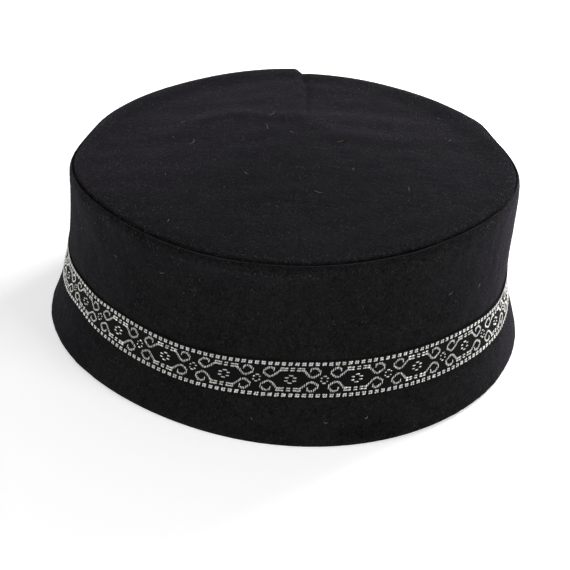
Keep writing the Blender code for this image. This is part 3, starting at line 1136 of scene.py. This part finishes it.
class KUFI_OT_border_threads(bpy.types.Operator):
    """Lay the rows of silver squares along both edges of the ribbon"""

    bl_idname = "kufi.border_threads"
    bl_label = "Border threads"

    def execute(self, context):
        pitch, starts = repeat_starts()
        square = pitch / BORDER_SQUARES
        width = square * BORDER_SHARE / 2.0
        length = (BORDER_ROWS[1] - BORDER_ROWS[0]) * BORDER_OVERLAP
        floats = []
        for start, index in product(starts, range(BORDER_SQUARES)):
            middle = start + (index + 0.5) * square
            for row, side, half in product(BORDER_ROWS, SIDES, HALVES):
                place = middle + half * width
                floats.append(Float(place, side * row, length, width * BORDER_THREAD, UPRIGHT))
        silver_threads("border_threads", floats, context.scene.cap_ribbon)
        return {"FINISHED"}


def scroll_columns():
    """The upright floats that fill the scroll's stroke: place, middle height and length of each."""
    columns = []
    for (x0, z0), (x1, z1) in zip(SCROLL_LINE[:-1], SCROLL_LINE[1:]):
        slope = (z1 - z0) / (x1 - x0)
        low, high = sorted((x0, x1))
        length = min(SCROLL_STROKE * math.sqrt(1.0 + slope * slope), SCROLL_LONGEST)
        for index in range(math.ceil(low / SCROLL_PITCH), math.ceil(high / SCROLL_PITCH)):
            place = index * SCROLL_PITCH
            columns.append((place, z0 + slope * (place - x0), length))
    return columns


class KUFI_OT_scroll_threads(bpy.types.Operator):
    """Lay the silver scrolls, bars and flowers between the borders"""

    bl_idname = "kufi.scroll_threads"
    bl_label = "Scroll threads"

    def execute(self, context):
        pitch, starts = repeat_starts()
        scroll = scroll_columns()
        half_bar = (BAR_END - BAR_START) / 2.0
        middle_bar = (MIDDLE_BAR_END * MIDDLE_BAR_OVERLAP, MIDDLE_BAR_WIDTH, ALONG)
        bar = (half_bar * BAR_OVERLAP, BAR_WIDTH, ALONG)
        floats = []
        for start, up in product(starts, SIDES):
            for row, half in product(BAR_ROWS, HALVES):
                floats.append(Float(start + half * MIDDLE_BAR_END, up * row, *middle_bar))
            for side in SIDES:
                for row, half in product(BAR_ROWS, (0.5, 1.5)):
                    floats.append(Float(start + side * (BAR_START + half * half_bar), up * row, *bar))
                for place, above, length in scroll:
                    place = start + side * place
                    floats.append(Float(place, up * above, length, SCROLL_FLOAT_WIDTH, UPRIGHT))
            for flower, middle in ((LARGE_FLOWER, start), (SMALL_FLOWER, start + pitch / 2.0)):
                for thread in flower:
                    for side in SIDES if thread.along else (1.0,):
                        place = middle + side * thread.along
                        floats.append(Float(place, up * thread.above, thread.length, FLOWER_WIDTH, ALONG))
        silver_threads("scroll_threads", floats, context.scene.cap_ribbon)
        return {"FINISHED"}


def hair_template(cuts):
    """One hair, as a unit: a thin spindle along X, cut where it may bend."""
    hair = unit_rod(HAIR_SIDES, cuts)
    points = get_points(hair)
    points[:, 1:] *= 1.0 - HAIR_THIN * (np.abs(points[:, :1]) / 0.5)
    set_points(hair, points)
    return template(hair)


def lay_hairs(name, spots, hairs, surface, material, cuts=(0.0,)):
    """Lays hairs at spots of a surface, which turns (u, v, out) into points. hairs holds their headings,
    lengths, widths, bows and lifts."""
    shape, faces = hair_template(cuts)
    heading, length, width, bow, lift = np.array(hairs)[:, :, None]
    run = shape[:, 0] * length
    across = shape[:, 1] * width + (shape[:, 0] * 2.0) ** 2 * bow
    cos, sin = np.cos(heading), np.sin(heading)
    u = spots[:, :1] + run * cos - across * sin
    v = spots[:, 1:] + run * sin + across * cos
    out = (shape[:, 0] + 0.5) * lift + shape[:, 2] * width
    placed = surface(u.ravel(), v.ravel(), out.ravel())
    piece = piece_from_copies(name, placed.reshape(len(spots), -1, 3), faces)
    finish_piece(piece, material, smooth_angle=80.0)


def on_crown(x, y, out):
    """Points on the crown's outer face: right, back and out from it."""
    height = crown_top(np.hypot(x, y)) + crown_relief(x, y) + out
    return soft_form(np.column_stack((x, y, height)))


def on_wall(along, height, out):
    """Points on the wall's outer face and over its shoulder; along is arc length on the round cap."""
    angle = along / WALL_RADIUS
    turn = np.clip((height - SHOULDER_FOOT) / SHOULDER_LENGTH, 0.0, 1.0) * math.pi / 2.0
    level = np.minimum(height, SHOULDER_FOOT) + SHOULDER_RISE * np.sin(turn)
    radius = wall_radius(level, angle) - SHOULDER_ACROSS * (1.0 - np.cos(turn)) + out * np.cos(turn)
    return soft_form(from_polar(radius, angle, level + out * np.sin(turn)))


class KUFI_OT_nap(bpy.types.Operator):
    """Lay the felt's short dark nap over the crown and the wall"""

    bl_idname = "kufi.nap"
    bl_label = "Nap"

    def execute(self, context):
        felt = context.scene.cap_felt
        material = hair_material("felt_nap", felt.felt_light, felt.nap_colour)
        chance = np.random.default_rng(NAP_SEED)

        def hairs(count):
            return (
                chance.uniform(0.0, 2.0 * math.pi, count),
                felt.nap_length * chance.uniform(*HAIR_LENGTHS, count),
                chance.uniform(*HAIR_WIDTHS, count),
                chance.normal(0.0, HAIR_BOW, count),
                chance.uniform(0.0, HAIR_LIFT, count))

        count = felt.nap_hairs
        reach = CROWN_EDGE * np.sqrt(chance.uniform(0.0, 1.0, count))
        over_seam = count // NAP_SEAM_ONE_IN
        reach[:over_seam] = chance.uniform(
            CROWN_EDGE - NAP_INSIDE_SEAM, SEAM_RADIUS + NAP_OUTSIDE_SEAM, over_seam)
        angle = chance.uniform(0.0, 2.0 * math.pi, count)
        spots = np.column_stack((reach * np.cos(angle), reach * np.sin(angle)))
        lay_hairs("crown_nap", spots, hairs(count), on_crown, material)

        count = felt.nap_hairs * 2 // 3
        below = shoulder = count // NAP_BAND_ONE_IN
        ribbon_top = RIBBON_LOWER_EDGE + RIBBON_WIDTH
        heights = np.concatenate((
            chance.uniform(NAP_ABOVE_RIM, RIBBON_LOWER_EDGE - NAP_BELOW_RIBBON, below),
            chance.uniform(SHOULDER_FOOT, SHOULDER_FOOT + SHOULDER_LENGTH, shoulder),
            chance.uniform(ribbon_top + NAP_ABOVE_RIBBON, SHOULDER_FOOT, count - below - shoulder)))
        along = chance.uniform(0.0, 2.0 * math.pi * WALL_RADIUS, count)
        lay_hairs("wall_nap", np.column_stack((along, heights)), hairs(count), on_wall, material)
        return {"FINISHED"}


class KUFI_OT_lint(bpy.types.Operator):
    """Lay the pale fibres and specks caught in the nap"""

    bl_idname = "kufi.lint"
    bl_label = "Lint"

    def execute(self, context):
        colour = context.scene.cap_felt.lint_colour
        material = hair_material("pale_lint", [0.6 * part for part in colour], colour)
        for name, lint, surface in (("crown_lint", CROWN_LINT, on_crown), ("wall_lint", WALL_LINT, on_wall)):
            places, heights, headings, lengths, bows = np.array(lint).T
            places = places / MM_PER_METRE if surface is on_crown else np.radians(places) * WALL_RADIUS
            spots = np.column_stack((places, heights / MM_PER_METRE))
            widths = LINT_WIDTH * (1.0 + (lengths < SPECK))
            lifts = np.full(len(lint), LINT_LIFT)
            hairs = (np.radians(headings), lengths / MM_PER_METRE, widths, bows / MM_PER_METRE, lifts)
            lay_hairs(name, spots, hairs, surface, material, LINT_CUTS)
        return {"FINISHED"}


class KUFI_OT_studio(bpy.types.Operator):
    """Set the pale ground, the soft lights and the camera"""

    bl_idname = "kufi.studio"
    bl_label = "Studio"

    def execute(self, context):
        studio = context.scene.cap_studio
        deselect_all()
        bpy.ops.mesh.primitive_plane_add(size=GROUND_SIZE, location=(0.0, 0.0, 0.0))
        ground = bpy.context.object
        ground.name = "studio_ground"
        material, _, shader = new_material("white_ground")
        set_inputs(shader, Base_Color=(0.95, 0.95, 0.95, 1.0), Roughness=0.9,
                   Emission_Color=(1.0, 1.0, 1.0, 1.0), Emission_Strength=GROUND_GLOW)
        ground.data.materials.append(material)

        world = bpy.data.worlds.new("studio_world")
        world.use_nodes = True
        tree = world.node_tree
        background = tree.nodes["Background"]
        set_inputs(background, Color=(1.0, 1.0, 1.0, 1.0))
        direction = node(tree, "ShaderNodeTexCoord", (-700, 0))
        parts = node(tree, "ShaderNodeSeparateXYZ", (-500, 0))
        from_front = node(tree, "ShaderNodeMapRange", (-300, 0))
        set_inputs(from_front, From_Min=-1.0, From_Max=1.0, To_Min=studio.room_front, To_Max=studio.room_back)
        tree.links.new(direction.outputs["Generated"], parts.inputs["Vector"])
        tree.links.new(parts.outputs["Y"], from_front.inputs["Value"])
        tree.links.new(from_front.outputs["Result"], background.inputs["Strength"])
        context.scene.world = world

        for lamp, power in zip(LAMPS, (studio.left_power, studio.right_power, studio.back_power)):
            bpy.ops.object.light_add(type="AREA", location=lamp.place)
            light = bpy.context.object
            light.name = lamp.name
            light.data.shape = "SQUARE"
            light.data.size = lamp.size
            light.data.energy = power
            aim = Vector(LAMPS_AIM) - Vector(lamp.place)
            light.rotation_euler = aim.to_track_quat("-Z", "Y").to_euler()

        right, up = Vector(CAMERA_RIGHT), Vector(CAMERA_UP)
        bpy.ops.object.camera_add()
        camera = bpy.context.object
        camera.name = "photo_camera"
        turn = Matrix((right, up, right.cross(up))).transposed()
        camera.matrix_world = Matrix.Translation(CAMERA_PLACE) @ turn.to_4x4()
        camera.data.lens = studio.lens
        camera.data.sensor_width = SENSOR_WIDTH
        camera.data.clip_start = CAMERA_NEAR
        context.scene.camera = camera
        context.scene.view_settings.view_transform = "Standard"
        return {"FINISHED"}


STEPS = (
    ("kufi.side_wall", "Side wall"),
    ("kufi.crown", "Crown"),
    ("kufi.ribbon", "Ribbon"),
    ("kufi.border_threads", "Border threads"),
    ("kufi.scroll_threads", "Scroll threads"),
    ("kufi.nap", "Nap"),
    ("kufi.lint", "Lint"),
    ("kufi.studio", "Studio"),
)


class KUFI_PT_cap(bpy.types.Panel):
    """Lists the cap's pieces and their settings"""

    bl_idname = "KUFI_PT_cap"
    bl_label = "Felt kufi cap"
    bl_space_type = "VIEW_3D"
    bl_region_type = "UI"
    bl_category = "Cap"

    def draw(self, context):
        for step, label in STEPS:
            self.layout.operator(step, text=label)
        for group in (context.scene.cap_felt, context.scene.cap_ribbon, context.scene.cap_studio):
            box = self.layout.box()
            for name in group.__annotations__:
                box.prop(group, name)


CLASSES = (
    CapFeltSettings,
    CapRibbonSettings,
    CapStudioSettings,
    KUFI_OT_side_wall,
    KUFI_OT_crown,
    KUFI_OT_ribbon,
    KUFI_OT_border_threads,
    KUFI_OT_scroll_threads,
    KUFI_OT_nap,
    KUFI_OT_lint,
    KUFI_OT_studio,
    KUFI_PT_cap,
)


def register():
    for cls in CLASSES:
        bpy.utils.register_class(cls)
    bpy.types.Scene.cap_felt = bpy.props.PointerProperty(type=CapFeltSettings)
    bpy.types.Scene.cap_ribbon = bpy.props.PointerProperty(type=CapRibbonSettings)
    bpy.types.Scene.cap_studio = bpy.props.PointerProperty(type=CapStudioSettings)


def unregister():
    del bpy.types.Scene.cap_studio
    del bpy.types.Scene.cap_ribbon
    del bpy.types.Scene.cap_felt
    for cls in reversed(CLASSES):
        bpy.utils.unregister_class(cls)


def main():
    register()
    bpy.ops.kufi.side_wall()
    bpy.ops.kufi.crown()
    bpy.ops.kufi.ribbon()
    bpy.ops.kufi.border_threads()
    bpy.ops.kufi.scroll_threads()
    bpy.ops.kufi.nap()
    bpy.ops.kufi.lint()
    bpy.ops.kufi.studio()


if __name__ == "__main__":
    main()
